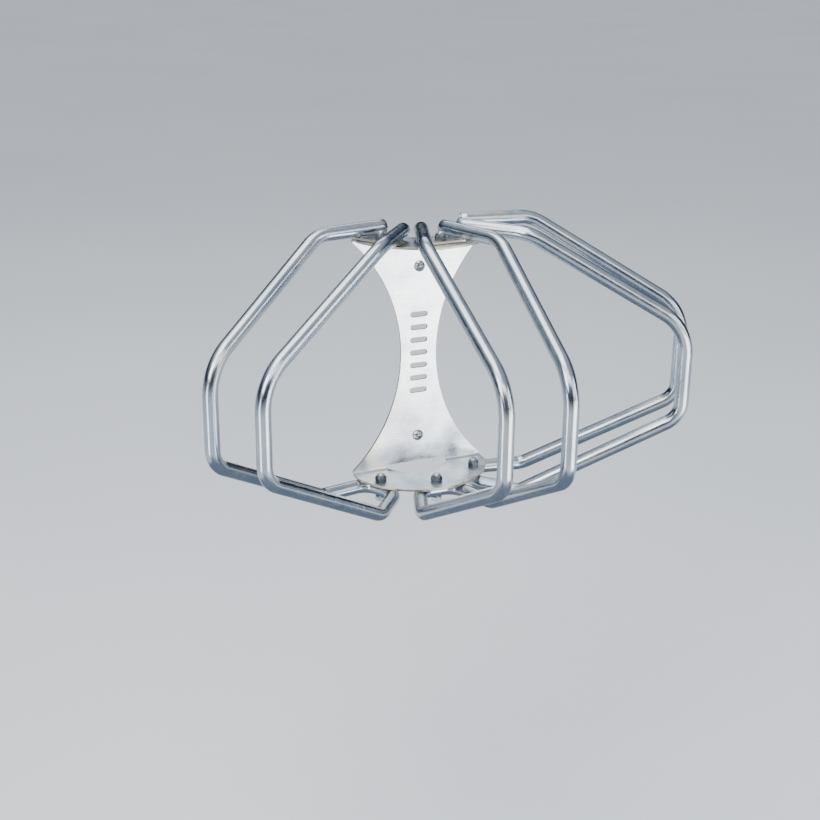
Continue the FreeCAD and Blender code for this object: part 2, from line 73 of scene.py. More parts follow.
def grid_faces(rows, columns, copies=1):
    """Quads of a grid that closes on itself around each row.

    Corner (i, j) joins (i, j + 1), (i + 1, j + 1) and (i + 1, j), where j + 1 wraps round to 0.
    Further copies of the same grid follow on in the list of points.
    """
    i, j = np.meshgrid(np.arange(rows - 1), np.arange(columns), indexing="ij")
    ahead = (j + 1) % columns
    quads = np.stack([i * columns + j, i * columns + ahead,
                      (i + 1) * columns + ahead, (i + 1) * columns + j], axis=-1).reshape(-1, 4)
    starts = np.arange(copies)[:, None, None] * rows * columns
    return (quads[None] + starts).reshape(-1, 4)


def piece_from(name, points, faces, sharp_degrees=35, **places):
    """A closed mesh object from an array of points and an array of faces.

    Points that meet at a pole or a seam are merged. If the signed volume comes out negative, the
    faces look inwards, and all are turned round. Each array in places becomes an attribute.
    """
    mesh = bpy.data.meshes.new(name)
    mesh.from_pydata(points.reshape(-1, 3), [], faces.tolist())
    for key, place in places.items():
        attribute = mesh.attributes.new(key, "FLOAT_VECTOR", "POINT")
        attribute.data.foreach_set("vector", place.ravel().astype(np.float32))
    work = bmesh.new()
    work.from_mesh(mesh)
    bmesh.ops.remove_doubles(work, verts=work.verts, dist=0.001 * MM)
    volume = work.calc_volume(signed=True)
    if volume < 0:
        bmesh.ops.reverse_faces(work, faces=work.faces)
    open_edges = sum(not edge.is_manifold for edge in work.edges)
    work.to_mesh(mesh)
    work.free()
    mesh.polygons.foreach_set("use_smooth", np.ones(len(mesh.polygons), dtype=bool))
    mesh.set_sharp_from_angle(angle=math.radians(sharp_degrees))
    piece = bpy.data.objects.new(name, mesh)
    bpy.context.scene.collection.objects.link(piece)
    print(name, len(mesh.polygons), "faces", open_edges, "open edges",
          round(volume * 1e6, 2), "cm3")
    return piece


def finish_piece(piece, material, body, slot, *nodes):
    """Give a piece its finish and the body it moves with, and hide the CAD nodes that it stands
    for.
    """
    piece.data.materials.append(material)
    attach(piece, body)
    if nodes:
        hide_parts(*nodes)


# %% [markdown]
# ## Colours and nodes
# Colours are written as the sRGB hex values that a paint chart gives, and a shader wants linear
# light, so one function turns them. One more adds a node with its settings and its links, which
# keeps each material short enough to read as a recipe.

# %% Colour and node helpers
def linear(hex_colour):
    """sRGB hex to linear light: c / 12.92 in the darkest part, and above it
    ((c + 0.055) / 1.055) ** 2.4."""
    srgb = np.array([int(hex_colour[k:k + 2], 16) for k in (1, 3, 5)]) / 255
    light = np.where(srgb <= 0.04045, srgb / 12.92, ((srgb + 0.055) / 1.055) ** 2.4)
    return (*light.tolist(), 1.0)


def add(tree, kind, inputs=None, **settings):
    """Add one node: settings are its properties, and inputs are values or other sockets."""
    new = tree.nodes.new(kind)
    for name, setting in settings.items():
        setattr(new, name, setting)
    for key, source in (inputs or {}).items():
        if isinstance(source, bpy.types.NodeSocket):
            tree.links.new(source, new.inputs[key])
        else:
            new.inputs[key].default_value = source
    return new


def per_mm(size):
    """Noise scale whose features are about that many millimetres, on coordinates in metres."""
    return 1 / (size * MM)


def ramp(tree, factor, *stops):
    """A colour ramp through (position, hex colour) stops."""
    node = add(tree, "ShaderNodeValToRGB", {"Fac": factor})
    elements = node.color_ramp.elements
    for element, (position, colour) in zip(elements, (stops[0], stops[-1])):
        element.position, element.color = position, linear(colour)
    for position, colour in stops[1:-1]:
        elements.new(position).color = linear(colour)
    return node.outputs["Color"]


def new_material(name, **constants):
    """An empty material with one Principled shader, whose constants go on its own sockets."""
    material = bpy.data.materials.new(name)
    material.use_nodes = True
    tree = material.node_tree
    tree.nodes.clear()
    shader = add(tree, "ShaderNodeBsdfPrincipled",
                 {key.replace("_", " "): constant for key, constant in constants.items()})
    add(tree, "ShaderNodeOutputMaterial", {"Surface": shader.outputs["BSDF"]})
    return material, tree, shader


# %% [markdown]
# ## Bright zinc
# Every steel piece is electroplated with zinc and passivated, which gives a bright mirror with a
# cold blue cast, and clouds of very pale yellow where the film is thicker. What tells the pieces
# apart is the steel under the plating: a drawn tube keeps long fine lines, a rolled sheet has a
# satin grain and scuffs, and a nut stays dark because it is tumbled and threaded. So one recipe
# is used for all, with its own colours, grain direction and roughness.
#
# The grain could be a painted texture, but noise stretched along the grain is sharp at any size.
# Its coordinates are the object's own, except on the tubes, which carry an attribute with the
# place of each point on the tube before it was bent.

# %% The recipe for a zinc plated finish
def zinc_plated(name, tints, cloud_mm, grain_mm, rough, bump_mm, attribute=None, speck_mm=None):
    """Plated steel: tinted clouds, a stretched grain in roughness and bump, and fine specks.

    tints are three hex colours from cold to warm. grain_mm is the grain's size along X, Y and Z.
    rough is (lowest, highest) roughness and bump_mm the depth of the grain.
    """
    material, tree, shader = new_material(name, Metallic=1.0)
    if attribute:
        place = add(tree, "ShaderNodeAttribute", attribute_name=attribute).outputs["Vector"]
    else:
        place = add(tree, "ShaderNodeTexCoord").outputs["Object"]
    clouds = add(tree, "ShaderNodeTexNoise",
                 {"Vector": place, "Scale": per_mm(cloud_mm), "Detail": 4.0, "Roughness": 0.6})
    colour = ramp(tree, clouds.outputs["Fac"], (0.30, tints[0]), (0.52, tints[1]), (0.72, tints[2]))
    stretched = add(tree, "ShaderNodeMapping",
                    {"Vector": place, "Scale": tuple(per_mm(size) for size in grain_mm)})
    grain = add(tree, "ShaderNodeTexNoise",
                {"Vector": stretched.outputs["Vector"], "Scale": 1.0, "Detail": 3.0})
    scuffs = add(tree, "ShaderNodeTexNoise",
                 {"Vector": place, "Scale": per_mm(cloud_mm / 4), "Detail": 6.0, "Roughness": 0.7})
    mixed = add(tree, "ShaderNodeMath", {0: grain.outputs["Fac"], 1: scuffs.outputs["Fac"]},
                operation="MULTIPLY")
    roughness = add(tree, "ShaderNodeMapRange",
                    {"Value": mixed.outputs["Value"], "From Min": 0.12, "From Max": 0.42,
                     "To Min": rough[0], "To Max": rough[1]})
    height = grain.outputs["Fac"]
    if speck_mm:
        specks = add(tree, "ShaderNodeTexVoronoi", {"Vector": place, "Scale": per_mm(speck_mm)})
        pits = add(tree, "ShaderNodeMath", {0: specks.outputs["Distance"], 1: 0.22},
                   operation="MINIMUM")
        height = add(tree, "ShaderNodeMath", {0: height, 1: pits.outputs["Value"]},
                     operation="ADD").outputs["Value"]
    bump = add(tree, "ShaderNodeBump",
               {"Height": height, "Distance": bump_mm * MM, "Strength": 0.6})
    tree.links.new(colour, shader.inputs["Base Color"])
    tree.links.new(roughness.outputs["Result"], shader.inputs["Roughness"])
    tree.links.new(bump.outputs["Normal"], shader.inputs["Normal"])
    return material


# %% [markdown]
# ## The finishes
# The tube is the smoothest: drawn, polished by its dies, then plated, so it mirrors most sharply.
# Its draw lines are really about 0.05 mm apart, too fine to show, so they are drawn 0.35 mm apart.
# The sheet is paler and satin, with the rolling direction along the wall. Cut edges lose some of
# the plating's brightness and look warmer. Nuts are the darkest, and welds the roughest.

# %% Zinc on tube, sheet, edges, fasteners and welds
drawn_tube = zinc_plated("bright_zinc_on_drawn_tube", ("#9ca6b1", "#b0b8c1", "#bfbfba"),
                         cloud_mm=60, grain_mm=(160, 0.35, 0.35), rough=(0.15, 0.30),
                         bump_mm=0.012, attribute="unbent")
rolled_sheet = zinc_plated("satin_zinc_on_rolled_sheet", ("#b6bec8", "#dde2e6", "#f0e9da"),
                           cloud_mm=38, grain_mm=(60, 60, 0.5), rough=(0.23, 0.38),
                           bump_mm=0.014)
cut_edge = zinc_plated("zinc_on_cut_edges", ("#9b9486", "#b3ab9b", "#c6bda9"),
                       cloud_mm=9, grain_mm=(0.6, 0.6, 0.6), rough=(0.24, 0.42), bump_mm=0.04)
rolled_bolt = zinc_plated("zinc_on_rolled_bolt", ("#a7adb4", "#bfc4c9", "#cfcdc6"),
                          cloud_mm=3, grain_mm=(0.4, 0.4, 0.4), rough=(0.16, 0.34), bump_mm=0.02)
tumbled_nut = zinc_plated("dull_zinc_on_tumbled_nut", ("#4c5157", "#696e74", "#84847f"),
                          cloud_mm=2.5, grain_mm=(0.5, 0.5, 0.5), rough=(0.24, 0.42),
                          bump_mm=0.03, speck_mm=0.7)
wall_fixing = zinc_plated("zinc_on_pressed_screw", ("#8d9398", "#adb2b5", "#c0bdb3"),
                          cloud_mm=3, grain_mm=(0.5, 0.5, 0.5), rough=(0.18, 0.34), bump_mm=0.02)
weld_metal = zinc_plated("zinc_on_weld_beads", ("#8b9198", "#a8adb2", "#b8b4aa"),
                         cloud_mm=4, grain_mm=(0.8, 0.8, 0.8), rough=(0.32, 0.55),
                         bump_mm=0.06, speck_mm=0.9)

# %% [markdown]
# The ring in a self-locking nut is moulded nylon, milky and slightly see-through, with the thread
# of the bolt pressed into it. A little subsurface light is enough at this size.

# %% Nylon
nylon, tree, shader = new_material("moulded_nylon", Roughness=0.42, IOR=1.53,
                                   Subsurface_Weight=0.25, Subsurface_Scale=0.0015)
place = add(tree, "ShaderNodeTexCoord").outputs["Object"]
mottle = add(tree, "ShaderNodeTexNoise", {"Vector": place, "Scale": per_mm(1.5), "Detail": 3.0})
tree.links.new(ramp(tree, mottle.outputs["Fac"], (0.3, "#c9cfd2"), (0.7, "#e3e6e4")),
               shader.inputs["Base Color"])
moulded = add(tree, "ShaderNodeBump", {"Height": mottle.outputs["Fac"], "Distance": 0.02 * MM})
tree.links.new(moulded.outputs["Normal"], shader.inputs["Normal"])

# %% [markdown]
# ## The line of a hoop
# A hoop is one tube, bent ten times: along one side, across under the bracket and back along the
# other. A bending machine makes it as straight runs and arcs, so that is how its centre line is
# worked out, with the frame around the line turned along each arc. A Bezier curve would be
# quicker to draw, but it swells and narrows in the bends.

# %% Straight runs and arcs
def turned_about(axis, angles, vector):
    """Rodrigues' formula for an array of angles: v cos a + (k x v) sin a + k (k . v)(1 - cos a)."""
    cosine, sine = np.cos(angles)[:, None], np.sin(angles)[:, None]
    return (vector * cosine + np.cross(axis, vector) * sine
            + axis * np.dot(axis, vector) * (1 - cosine))


def bent_line(corners, radii, across, run_step, arc_step):
    """Points, tangents, one side vector and the flattening direction along a bent tube's line.

    Each corner is rounded by an arc that starts radius * tan(turn / 2) before it. The side vector
    starts as across and is turned with each arc. The flattening direction lies in the bend's
    plane, and its length rises from 0 to 1 and back along the arc.
    """
    points, tangents, sides, flats = [], [], [], []
    start = corners[0]
    ahead = corners[1] - corners[0]
    ahead = ahead / np.linalg.norm(ahead)
    side = across - ahead * np.dot(across, ahead)
    side = side / np.linalg.norm(side)

    def straight_to(finish):
        steps = max(2, int(np.linalg.norm(finish - start) / run_step))
        share = np.linspace(0, 1, steps + 1)[:-1, None]
        points.append(start + (finish - start) * share)
        for values, vector in ((tangents, ahead), (sides, side), (flats, ahead * 0)):
            values.append(np.repeat(vector[None], steps, axis=0))

    for corner, after, radius in zip(corners[1:-1], corners[2:], radii):
        leaving = (after - corner) / np.linalg.norm(after - corner)
        turn = math.acos(np.dot(ahead, leaving))
        axis = np.cross(ahead, leaving) / math.sin(turn)
        arc_start = corner - ahead * radius * math.tan(turn / 2)
        straight_to(arc_start)
        centre = arc_start + radius * np.cross(axis, ahead)
        steps = max(6, int(turn / arc_step))
        angles = np.linspace(0, turn, steps + 1)[:-1]
        spokes = turned_about(axis, angles, arc_start - centre)
        points.append(centre + spokes)
        tangents.append(turned_about(axis, angles, ahead))
        sides.append(turned_about(axis, angles, side))
        rise = np.clip(1.8 * np.sin(math.pi * angles / turn), 0, 1)[:, None]
        flats.append(spokes / radius * rise)
        start = corner + leaving * radius * math.tan(turn / 2)
        side = turned_about(axis, np.array([turn]), side)[0]
        ahead = leaving
    straight_to(corners[-1])
    points.append(corners[-1][None])
    tangents.append(ahead[None])
    sides.append(side[None])
    flats.append(ahead[None] * 0)
    return [np.concatenate(values) for values in (points, tangents, sides, flats)]


# %% [markdown]
# ## The corners of a hoop
# Seen from above, the two sides splay apart from the pivot to a shoulder and come a little closer
# at the front. Seen from the side, each runs level to the shoulder, slopes to the front and stands
# upright there. One side is listed, and the other is its mirror image, taken backwards.

# %% The corners of a hoop, in its own frame with the pivot at the origin
TUBE_RADIUS = 9 * MM
TUBE_WALL = 1.5 * MM
FLANGE_TOP = 158 * MM
PLAY = 0.4 * MM
YOKE_THICKNESS = 3 * MM
HALF_AT_PIVOT = 24 * MM
HALF_AT_SHOULDER = 47.5 * MM
HALF_AT_FRONT = 39.5 * MM
SHOULDER_REACH = 62 * MM
FRONT_REACH = 260 * MM
FRONT_HALF_HEIGHT = 58 * MM
TAIL = 25 * MM
top_line = FLANGE_TOP + PLAY + YOKE_THICKNESS + TUBE_RADIUS
low_line = -(FLANGE_TOP + PLAY + TUBE_RADIUS)
splay = (HALF_AT_SHOULDER - HALF_AT_PIVOT) / SHOULDER_REACH
one_side = np.array([
    (HALF_AT_PIVOT - splay * TAIL, TAIL, top_line),
    (HALF_AT_SHOULDER, -SHOULDER_REACH, top_line),
    (HALF_AT_FRONT, -FRONT_REACH, FRONT_HALF_HEIGHT),
    (HALF_AT_FRONT, -FRONT_REACH, -FRONT_HALF_HEIGHT),
    (HALF_AT_SHOULDER, -SHOULDER_REACH, low_line),
    (HALF_AT_PIVOT, 0, low_line),
])
hoop_corners = np.concatenate([one_side, one_side[::-1] * (-1, 1, 1)])
side_radii = [45, 60, 32, 26, 23]
bend_radii = np.array(side_radii + side_radii[::-1]) * MM
line, tangent, side, flat = bent_line(hoop_corners, bend_radii, np.array([0.0, 0, 1]),
                                      run_step=8 * MM, arc_step=math.radians(2.5))
along = np.concatenate([[0], np.cumsum(np.linalg.norm(np.diff(line, axis=0), axis=1))])
print("hoop line", round(along[-1] * 1000), "mm in", len(line), "points")

# %% [markdown]
# ## The tube itself
# The outside is a circle carried along the line, the bore is a smaller one, and the two meet at
# the sawn ends. One closed profile does all of it: out along the tube, round the sawn lip, and
# back down the bore. A real bend is a little flatter in its own plane, about 3 percent on this
# tube, and that is what makes its highlight pinch at each corner.

# %% A tube with a bore, sawn lips and flattened bends
AROUND = 56
FLATTENING = 0.03


def tube_shell():
    """Points of the tube: line + r (cos t . side + sin t . other), less the flattening in bends.

    Rows run along the outside from end to end, round the lip, and back along the bore to the
    first lip. The unbent place of a point is (distance along, r cos t, r sin t).
    """
    count = len(line)
    lip = 0.35 * MM
    order = np.concatenate([[0], np.arange(count), [count - 1], np.arange(count)[::-1], [0, 0]])
    outer, inner = TUBE_RADIUS, TUBE_RADIUS - TUBE_WALL
    radius = np.concatenate([[outer - lip], np.full(count, outer), [outer - lip],
                             np.full(count, inner), [inner + lip, outer - lip]])
    radius[count + 2] = inner + lip
    inset = np.zeros(len(order))
    inset[1], inset[count] = lip, -lip
    inset[count + 3], inset[-3] = -lip, lip
    centre = line[order] + tangent[order] * inset[:, None]
    other = np.cross(tangent, side)[order]
    angle = np.linspace(0, 2 * math.pi, AROUND, endpoint=False)
    spoke = (np.cos(angle)[None, :, None] * side[order][:, None]
             + np.sin(angle)[None, :, None] * other[:, None]) * radius[:, None, None]
    squeeze = flat[order][:, None]
    spoke = spoke - FLATTENING * squeeze * np.sum(spoke * squeeze, axis=-1, keepdims=True)
    unbent = np.stack(np.broadcast_arrays(along[order][:, None],
                                          radius[:, None] * np.cos(angle),
                                          radius[:, None] * np.sin(angle)), axis=-1)
    return centre[:, None] + spoke, unbent


def carried(points, name):
    """Turn points about the upright axis to a hoop's fan angle, then move them to its pivot."""
    cosine, sine = math.cos(fan[name]), math.sin(fan[name])
    turn = np.array([[cosine, -sine, 0], [sine, cosine, 0], [0, 0, 1]])
    return points @ turn.T + pivots[name]


shell, unbent = tube_shell()
for name in pivots:
    # each hoop reads its grain from another part of the noise, so that no two are alike
    from_other_hoops = np.array([10 * pivots[name][0], 0, 0])
    hoop = piece_from(f"hoop_tube_{name}", carried(shell, name), grid_faces(*shell.shape[:2]), 50,
                      unbent=unbent + from_other_hoops)
    finish_piece(hoop, drawn_tube, f"{name}_holder", "plated_tube", f"hoop_{name}")

# %% [markdown]
# ## Sheet pieces with soft edges
# The bracket is bent sheet and the yokes are flat sheet, and the CAD mesh already has their exact
# outlines. What it lacks is the small rounding that tumbling and plating give to an edge, which is
# what catches the light. A copy of the mesh is merged, its flat triangles are joined, and a Bevel
# modifier rounds the edges. The bevel's own faces and the walls that the cutter left take the
# material of a cut edge. A wall is told by its normal: it stands square to the sheet that it is
# cut from.

# %% A softened copy of a CAD node
BEND_OUTSIDE = 6 * MM


def bracket_walls(centre, normal):
    """Walls of the bent bracket: square to Y in the back plate, to Z in the flanges, and facing
    sideways in the bends between them."""
    across = np.abs(normal)
    in_flange = centre[:, 1] < -BEND_OUTSIDE
    in_plate = ~in_flange & (np.abs(centre[:, 2]) < FLANGE_TOP - BEND_OUTSIDE)
    in_bend = ~in_flange & ~in_plate
    return ((in_flange & (across[:, 2] < 0.05)) | (in_plate & (across[:, 1] < 0.05))
            | (in_bend & (across[:, 0] > 0.3)))


def flat_walls(centre, normal):
    """Walls of a sheet that lies flat: square to Z."""
    return np.abs(normal[:, 2]) < 0.05


def softened(node, name, width, materials, walls, body):
    """A copy of a CAD node's mesh with doubles merged and its sharp edges rounded."""
    mesh = frame["nodes"][node].data.copy()
    mesh.name = name
    work = bmesh.new()
    work.from_mesh(mesh)
    bmesh.ops.remove_doubles(work, verts=work.verts, dist=0.005 * MM)
    bmesh.ops.dissolve_limit(work, angle_limit=math.radians(0.5), verts=work.verts,
                             edges=work.edges)
    work.to_mesh(mesh)
    work.free()
    mesh.materials.clear()
    mesh.polygons.foreach_set("use_smooth", np.ones(len(mesh.polygons), dtype=bool))
    centre, normal = np.zeros((2, len(mesh.polygons), 3), dtype=np.float32)
    mesh.polygons.foreach_get("center", centre.ravel())
    mesh.polygons.foreach_get("normal", normal.ravel())
    cut = walls(centre, normal)
    mesh.polygons.foreach_set("material_index", cut.astype(np.int32) * (len(materials) - 1))
    piece = bpy.data.objects.new(name, mesh)
    bpy.context.scene.collection.objects.link(piece)
    for material in materials:
        mesh.materials.append(material)
    rounding = piece.modifiers.new("rounded_edges", "BEVEL")
    rounding.width = width
    rounding.segments = 2
    rounding.limit_method = "ANGLE"
    rounding.angle_limit = math.radians(40)
    rounding.material = len(materials) - 1
    shading = piece.modifiers.new("flat_faces_stay_flat", "WEIGHTED_NORMAL")
    shading.weight = 100
    shading.keep_sharp = True
    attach(piece, body)
    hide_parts(node)
    print(name, len(mesh.polygons), "faces before rounding,", int(cut.sum()), "of them cut walls")


softened("wall_bracket", "bracket_sheet", 0.35 * MM, [rolled_sheet, cut_edge],
         bracket_walls, "bracket")
for name in pivots:
    softened(f"top_yoke_{name}", f"yoke_plate_{name}", 0.3 * MM, [rolled_sheet, cut_edge],
             flat_walls, f"{name}_holder")

# %% [markdown]
# ## Turned and threaded pieces
# A nut, a bolt and a screw are all turned about an axis, and what isn't round is a limit on the
# radius: the six flats of a hexagon, the cone that chamfers its corners, or the groove of a
# thread. So each is a radius that depends on the angle and on the place along a profile, and the
# smallest of the limits wins. The chamfer's curved edges on the flats come out by themselves.

# %% A surface with a radius for each angle and each row of a profile
def hexagon_radius(angle, across_flats):
    """Distance to the side of a hexagon: half the width across flats / cos of the angle from it."""
    from_flat = (angle + math.pi / 6) % (math.pi / 3) - math.pi / 6
    return across_flats / 2 / np.cos(from_flat)


def profile_rows(*knots, step):
    """Points along a profile of (radius, height) knots, no more than a step apart."""
    knots = np.array(knots, dtype=float)
    rows = []
    for first, last in zip(knots[:-1], knots[1:]):
        count = max(1, math.ceil(np.linalg.norm(last - first) / step))
        rows.append(first + (last - first) * np.linspace(0, 1, count, endpoint=False)[:, None])
    rows.append(knots[-1:])
    return np.concatenate(rows)


def turned_points(radius, height, angle):
    """Points (r cos t, r sin t, z) from an array of radii with a row for each height."""
    height = np.broadcast_to(height[:, None], radius.shape)
    return np.stack([radius * np.cos(angle), radius * np.sin(angle), height], axis=-1)


def at_pivots(points, turns):
    """The same piece at each of the three pivots, turned there by an angle of its own."""
    copies = []
    for (name, pivot), turn in zip(pivots.items(), turns):
        cosine, sine = math.cos(turn), math.sin(turn)
        matrix = np.array([[cosine, -sine, 0], [sine, cosine, 0], [0, 0, 1]])
        copies.append(points @ matrix.T + pivot * (1, 1, 0))
    return np.stack(copies)


# %% [markdown]
# ## Self-locking nuts
# An M8 self-locking nut is a hexagon 13 mm across flats with a round collar, rolled over at the
# top to hold a nylon ring. Seen from above and in front, the dark collar and the bright end of
# the bolt in it are what show. In the profile, a radius of 7.65 mm lies past the corners of the
# hexagon, so there the flats are the limit.

# %% Nuts and their nylon rings
HEX = 13 * MM
NUT_HEIGHT = 8 * MM
SEGMENTS = 96
nut_angle = np.linspace(0, 2 * math.pi, SEGMENTS, endpoint=False)
SHEET_THICKNESS = 3 * MM
inner_top = FLANGE_TOP - SHEET_THICKNESS
yoke_top = FLANGE_TOP + PLAY + YOKE_THICKNESS


def nut_points():
    """Closed ring: bore, lower face, lower chamfer, flats, upper chamfer, collar, lip and seat."""
    mm = np.array([(4.05, 0.3), (4.6, 0), (6.3, 0), (7.65, 0.8), (7.65, 5.1), (6.3, 5.9),
                   (5.9, 5.95), (5.9, 7.0), (5.75, 7.55), (5.4, 7.9), (5.0, 8.0), (4.75, 7.9),
                   (4.72, 7.75), (5.15, 7.6), (5.15, 6.3), (4.05, 6.2), (4.05, 0.3)])
    rows = profile_rows(*(mm * MM), step=0.35 * MM)
    limit = hexagon_radius(nut_angle, HEX)[None]
    return turned_points(np.minimum(rows[:, :1], limit), rows[:, 1], nut_angle)


def ring_points():
    """A nylon ring: a rectangle with rounded inner corners, pressed into the seat."""
    mm = np.array([(4.05, 6.5), (4.3, 6.3), (5.1, 6.3), (5.1, 7.55), (4.5, 7.72), (4.15, 7.6),
                   (4.05, 7.3), (4.05, 6.5)])
    rows = profile_rows(*(mm * MM), step=0.2 * MM)
    return turned_points(np.repeat(rows[:, :1], SEGMENTS, axis=1), rows[:, 1], nut_angle)


nut, ring = nut_points(), ring_points()
nut_turns = {"upper": (0.35, 0.9, 0.1), "lower": (0.22, 0.05, 0.5)}
for level, seat in (("upper", yoke_top), ("lower", -inner_top)):
    up = np.array([0, 0, seat])
    nuts = piece_from(f"{level}_nuts", at_pivots(nut + up, nut_turns[level]),
                      grid_faces(*nut.shape[:2], copies=3))
    finish_piece(nuts, tumbled_nut, "bracket", "plated_nut", f"{level}_lock_nuts")
    rings = piece_from(f"{level}_nylon_rings", at_pivots(ring + up, nut_turns[level]),
                       grid_faces(*ring.shape[:2], copies=3))
    finish_piece(rings, nylon, "bracket", "nylon", f"{level}_nut_inserts")

# %% [markdown]
# ## Bolts
# The thread of an M8 bolt has a 1.25 mm pitch. It is a groove in the radius that depends on the
# height less the angle's share of one pitch, so it winds up the shank as a helix. Only the last
# 14 mm is threaded, and the end is chamfered and slightly domed.

# %% Hexagon bolts
BOLT_PITCH = 1.25 * MM
BOLT_RADIUS = 4 * MM
HEAD_HEIGHT = 5.3 * MM
THREADED = 14 * MM
bolt_angle = np.linspace(0, 2 * math.pi, 72, endpoint=False)


def thread_depth(height, angle, pitch, depth):
    """A groove with a flat root: depth x 2.5 x the distance from the nearest crest in pitches,
    and never more than depth."""
    phase = (height[:, None] / pitch - angle[None] / (2 * math.pi)) % 1
    return depth * np.clip(1.25 - np.abs(phase - 0.5) * 2.5, 0, 1)


def bolt_points(length):
    """Closed surface from the middle of the head's outer face to the middle of the domed end."""
    head = profile_rows((0, -5.2 * MM), (1 * MM, -HEAD_HEIGHT), (6.0 * MM, -HEAD_HEIGHT),
                        (7.65 * MM, -4.4 * MM), (7.65 * MM, -0.5 * MM), (6.2 * MM, 0),
                        (BOLT_RADIUS, 0), step=0.4 * MM)
    thread_start, thread_end = length - THREADED + 0.1 * MM, length - 0.15 * MM
    plain = profile_rows((BOLT_RADIUS, 0.2 * MM), (BOLT_RADIUS, length - THREADED), step=2 * MM)
    thread = profile_rows((BOLT_RADIUS, thread_start), (BOLT_RADIUS, length - 0.9 * MM),
                          (3.1 * MM, thread_end), step=0.12 * MM)
    end = profile_rows((2.9 * MM, length - 0.1 * MM), (1.5 * MM, length - 0.02 * MM), (0, length),
                       step=0.5 * MM)
    rows = np.concatenate([head, plain, thread, end])
    in_head = rows[:, 1:] < 0
    limit = np.where(in_head, hexagon_radius(bolt_angle, HEX)[None], np.inf)
    groove = thread_depth(rows[:, 1], bolt_angle, BOLT_PITCH, 0.62 * MM)
    threaded = (rows[:, 1] > thread_start) & (rows[:, 1] < thread_end)
    threaded_limit = np.where(threaded[:, None], BOLT_RADIUS - groove, np.inf)
    radius = np.minimum(np.minimum(rows[:, :1], limit), threaded_limit)
    return turned_points(radius, rows[:, 1], bolt_angle)


STANDING_OUT = 2.4 * MM
tube_bottom = FLANGE_TOP + PLAY + 2 * TUBE_RADIUS
bolts = {
    "upper": (inner_top, yoke_top + NUT_HEIGHT + STANDING_OUT - inner_top),
    "lower": (-tube_bottom, tube_bottom - inner_top + NUT_HEIGHT + STANDING_OUT),
}
for level, (seat, length) in bolts.items():
    bolt = bolt_points(length) + np.array([0, 0, seat])
    made = piece_from(f"{level}_bolts", at_pivots(bolt, (0.2, 0.7, 1.0)),
                      grid_faces(*bolt.shape[:2], copies=3))
    finish_piece(made, rolled_bolt, "bracket", "plated_bolt", f"{level}_pivot_bolts")

# %% [markdown]
# ## Wall screws
# The two screws have a domed head with a cross recess. A recess could be cut with a Boolean, but
# on a fine polar grid it is simpler to lower the dome: the depth is full inside either arm of the
# cross and fades over 0.2 mm at its walls. A plain neck passes through the bracket's sheet, and
# behind it come a coarse thread that bites in a wall plug, and a point.

# %% Domed cross-recess screws
HEAD_RADIUS = 7.25 * MM
SCREW_HEAD = 5.2 * MM
SCREW_LENGTH = 50 * MM
RIM = 1.1 * MM
NECK_RADIUS = 3.4 * MM
RIDGE_RADIUS = 3.75 * MM
SCREW_PITCH = 3 * MM
ARM_HALF_WIDTH = 0.85 * MM
ARM_LENGTH = 3.8 * MM
RECESS_TURN = math.radians(12)
screw_angle = np.linspace(0, 2 * math.pi, 160, endpoint=False)


def recess_depth(x, z):
    """Depth of the cross at a point of the head: the deeper of its two tapered arms."""
    cosine, sine = math.cos(RECESS_TURN), math.sin(RECESS_TURN)
    first, second = x * cosine - z * sine, x * sine + z * cosine
    depth = np.zeros_like(x)
    for along_arm, across_arm in ((first, second), (second, first)):
        width = np.clip((ARM_HALF_WIDTH - np.abs(across_arm)) / (0.2 * MM), 0, 1)
        reach = np.clip((ARM_LENGTH - np.abs(along_arm)) / (1.6 * MM), 0, 1)
        depth = np.maximum(depth, width * np.minimum(reach * 3.2, 2.6) * MM)
    return depth


def screw_points():
    """Head, neck, thread and point of a screw along +Y, with its head's bearing face at y = 0.

    The dome is a part of a sphere: y = R - sqrt(R^2 - r^2) behind its top. Along the thread the
    radius is a core of 0.68 of the ridge, and ridge and core alternate with the pitch.
    """
    dome = np.linspace(0, HEAD_RADIUS - 0.25 * MM, 64)
    crown = SCREW_HEAD - 1.2 * MM
    sphere = (HEAD_RADIUS ** 2 + crown ** 2) / (2 * crown)
    dome_y = -SCREW_HEAD + sphere - np.sqrt(sphere ** 2 - dome ** 2)
    rest = profile_rows((7.2 * MM, -RIM), (HEAD_RADIUS, -0.3 * MM), (7.0 * MM, 0),
                        (NECK_RADIUS, 0), (NECK_RADIUS, SHEET_THICKNESS), step=0.6 * MM)
    thread = profile_rows((RIDGE_RADIUS, 3.1 * MM), (RIDGE_RADIUS, 42 * MM),
                          (0.3 * MM, 49.8 * MM), (0, SCREW_LENGTH), step=0.3 * MM)
    radius = np.concatenate([dome, rest[:, 0], thread[:, 0]])[:, None]
    y = np.concatenate([dome_y, rest[:, 1], thread[:, 1]])
    phase = (y[:, None] / SCREW_PITCH - screw_angle[None] / (2 * math.pi)) % 1
    ridge = np.clip(1.4 - np.abs(phase - 0.5) * 5, 0, 1)
    threaded = radius * (0.68 + 0.32 * ridge)
    radius = np.where(y[:, None] > SHEET_THICKNESS, threaded, radius)
    x, z = radius * np.cos(screw_angle), radius * np.sin(screw_angle)
    depth = np.where(y[:, None] < -RIM, recess_depth(x, z), 0)
    return np.stack([x, y[:, None] + depth, z], axis=-1)


screw = screw_points()
low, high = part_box("wall_screws")
spacing = (high.z - low.z) - 2 * HEAD_RADIUS
pair = np.stack([screw + (0, -SHEET_THICKNESS, sign * spacing / 2) for sign in (1, -1)])
screws = piece_from("wall_fixings", pair, grid_faces(*screw.shape[:2], copies=2))
finish_piece(screws, wall_fixing, "bracket", "plated_screw", "wall_screws")

